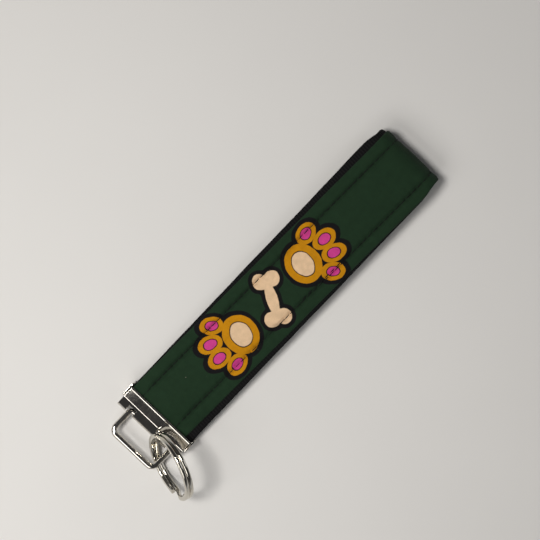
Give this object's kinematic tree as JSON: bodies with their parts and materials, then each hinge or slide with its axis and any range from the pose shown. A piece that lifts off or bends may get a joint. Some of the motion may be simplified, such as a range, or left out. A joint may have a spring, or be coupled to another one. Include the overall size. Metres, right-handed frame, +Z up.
{
  "type": "wristlet keychain",
  "caption": "Wristlet keychain: a printed fabric and webbing strap folded into a loop, crimped in a metal clamp with a wire tail loop and a split ring.",
  "frame": {"origin": "middle of the strap's width, on the underside of the lower run, where the keychain rests", "axes": "+X along the strap from the clamp to the fold, +Y across the strap, +Z up"},
  "size_m": [0.1586, 0.0459, 0.0268],
  "materials": {
    "printed_fabric": "printed cotton, plain weave",
    "padding": "soft non-woven",
    "webbing": "ribbed woven",
    "thread": "spun thread",
    "clamp_nickel": "polished nickel",
    "wire_nickel": "polished nickel",
    "ring_nickel": "polished nickel"
  },
  "bodies": {
    "strap_base_far": {"fabric_lower_far": "printed_fabric", "padding_lower_far": "padding", "webbing_lower_far": "webbing", "needle_thread_lower_far": "thread", "bobbin_thread_lower_far": "thread"},
    "strap_base_near": {"fabric_lower_near": "printed_fabric", "padding_lower_near": "padding", "webbing_lower_near": "webbing", "needle_thread_lower_near": "thread", "bobbin_thread_lower_near": "thread"},
    "strap_top_far": {"fabric_upper_far": "printed_fabric", "padding_upper_far": "padding", "webbing_upper_far": "webbing", "needle_thread_upper_far": "thread", "bobbin_thread_upper_far": "thread"},
    "strap_top_near": {"fabric_upper_near": "printed_fabric", "padding_upper_near": "padding", "webbing_upper_near": "webbing", "needle_thread_upper_near": "thread", "bobbin_thread_upper_near": "thread"},
    "clamp_body": {"clamp": "clamp_nickel", "fabric_clamped_ends": "printed_fabric", "padding_clamped_ends": "padding", "webbing_clamped_ends": "webbing", "needle_thread_clamped_ends": "thread", "bobbin_thread_clamped_ends": "thread"},
    "tail": {"tail_loop": "wire_nickel"},
    "ring": {"split_ring": "ring_nickel"}
  },
  "joints": [
    {"name": "loop_open", "type": "hinge", "parent": "strap_base_far", "child": "strap_top_far", "pos_m": [0.074, 0, 0.0062], "axis": [0, 1, 0], "range_deg": [0, 50]},
    {"name": "top_bend", "type": "hinge", "parent": "strap_top_far", "child": "strap_top_near", "pos_m": [0.011, 0, 0.00695], "axis": [0, 1, 0], "range_deg": [-50, 0]},
    {"name": "base_bend", "type": "hinge", "parent": "strap_base_far", "child": "strap_base_near", "pos_m": [-0.002, 0, 0.0028], "axis": [0, 1, 0], "range_deg": [0, 50]},
    {"name": "clamp_bend", "type": "hinge", "parent": "strap_base_near", "child": "clamp_body", "pos_m": [-0.065, 0, 0.00355], "axis": [0, 1, 0], "range_deg": [-25, 0]},
    {"name": "tail_swing", "type": "hinge", "parent": "clamp_body", "child": "tail", "pos_m": [-0.0721, -0.001, 0.00355], "axis": [0, 1, 0], "range_deg": [-90, 20]},
    {"name": "ring_swing", "type": "hinge", "parent": "tail", "child": "ring", "pos_m": [-0.07858, -0.01185, 0.00446], "axis": [0.9904, 0, -0.1384], "range_deg": [0, 85]}
  ],
  "couplings": [
    {"joint": "top_bend", "follows": "loop_open", "ratio": -1},
    {"joint": "base_bend", "follows": "loop_open", "ratio": 1},
    {"joint": "clamp_bend", "follows": "loop_open", "ratio": -0.5}
  ]
}
